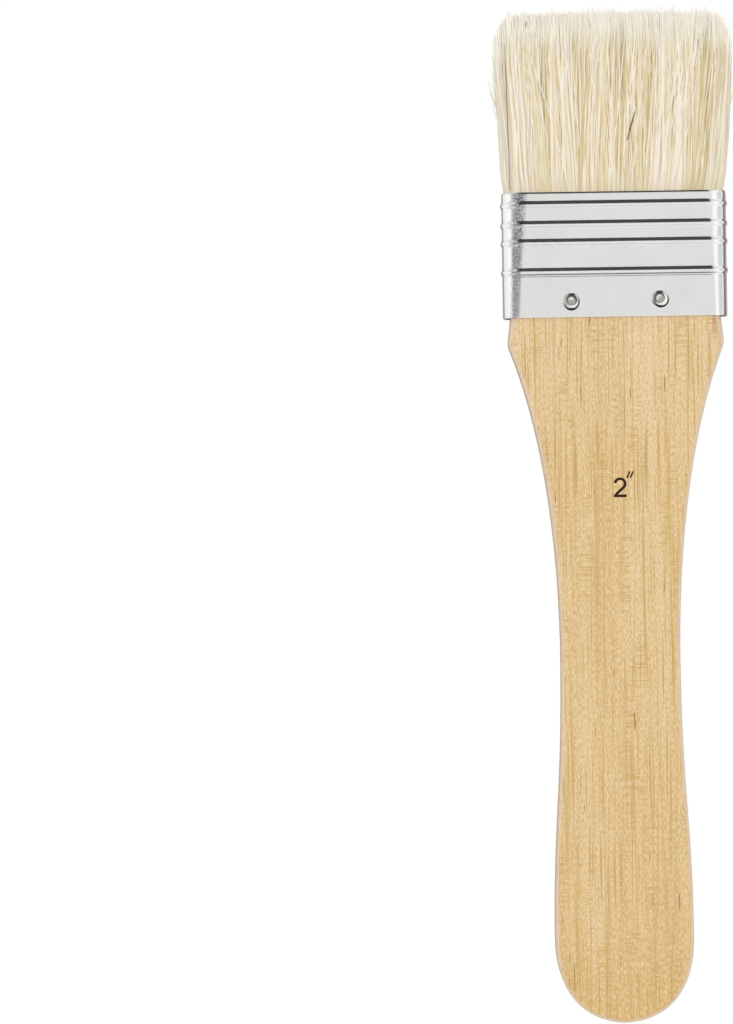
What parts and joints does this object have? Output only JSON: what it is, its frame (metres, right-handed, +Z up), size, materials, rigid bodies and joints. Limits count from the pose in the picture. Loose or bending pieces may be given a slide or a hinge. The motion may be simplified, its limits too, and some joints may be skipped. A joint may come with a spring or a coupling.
{
  "type": "flat bristle brush",
  "caption": "Flat hand brush: natural bristle set in a beaded metal ferrule that is nailed to a paddle-shaped wooden handle, for painting, varnishing and gluing.",
  "frame": {"origin": "below the middle of the brush, on the surface that it lies on with its front face up: the bottom centre of its box", "axes": "+Y along the brush from the handle towards the bristle tips, +Z up out of the front face, +X to the right seen from the front"},
  "size_m": [0.0554, 0.2311, 0.0111],
  "materials": {
    "wood": "pale straight-grained hardwood under a thin clear lacquer",
    "tinplate": "bright tinplate with a soft mirror sheen",
    "nail_steel": "bright plated steel",
    "bristle": "cream natural bristle, satin",
    "resin": "set amber resin"
  },
  "bodies": {
    "root": {"handle": "wood", "ferrule": "tinplate", "front_nail_left": "nail_steel", "front_nail_right": "nail_steel", "rear_nail_left": "nail_steel", "rear_nail_right": "nail_steel", "bristles_front": "bristle", "bristles_rear": "bristle", "spacer_plug": "wood", "resin_set": "resin"}
  },
  "joints": []
}
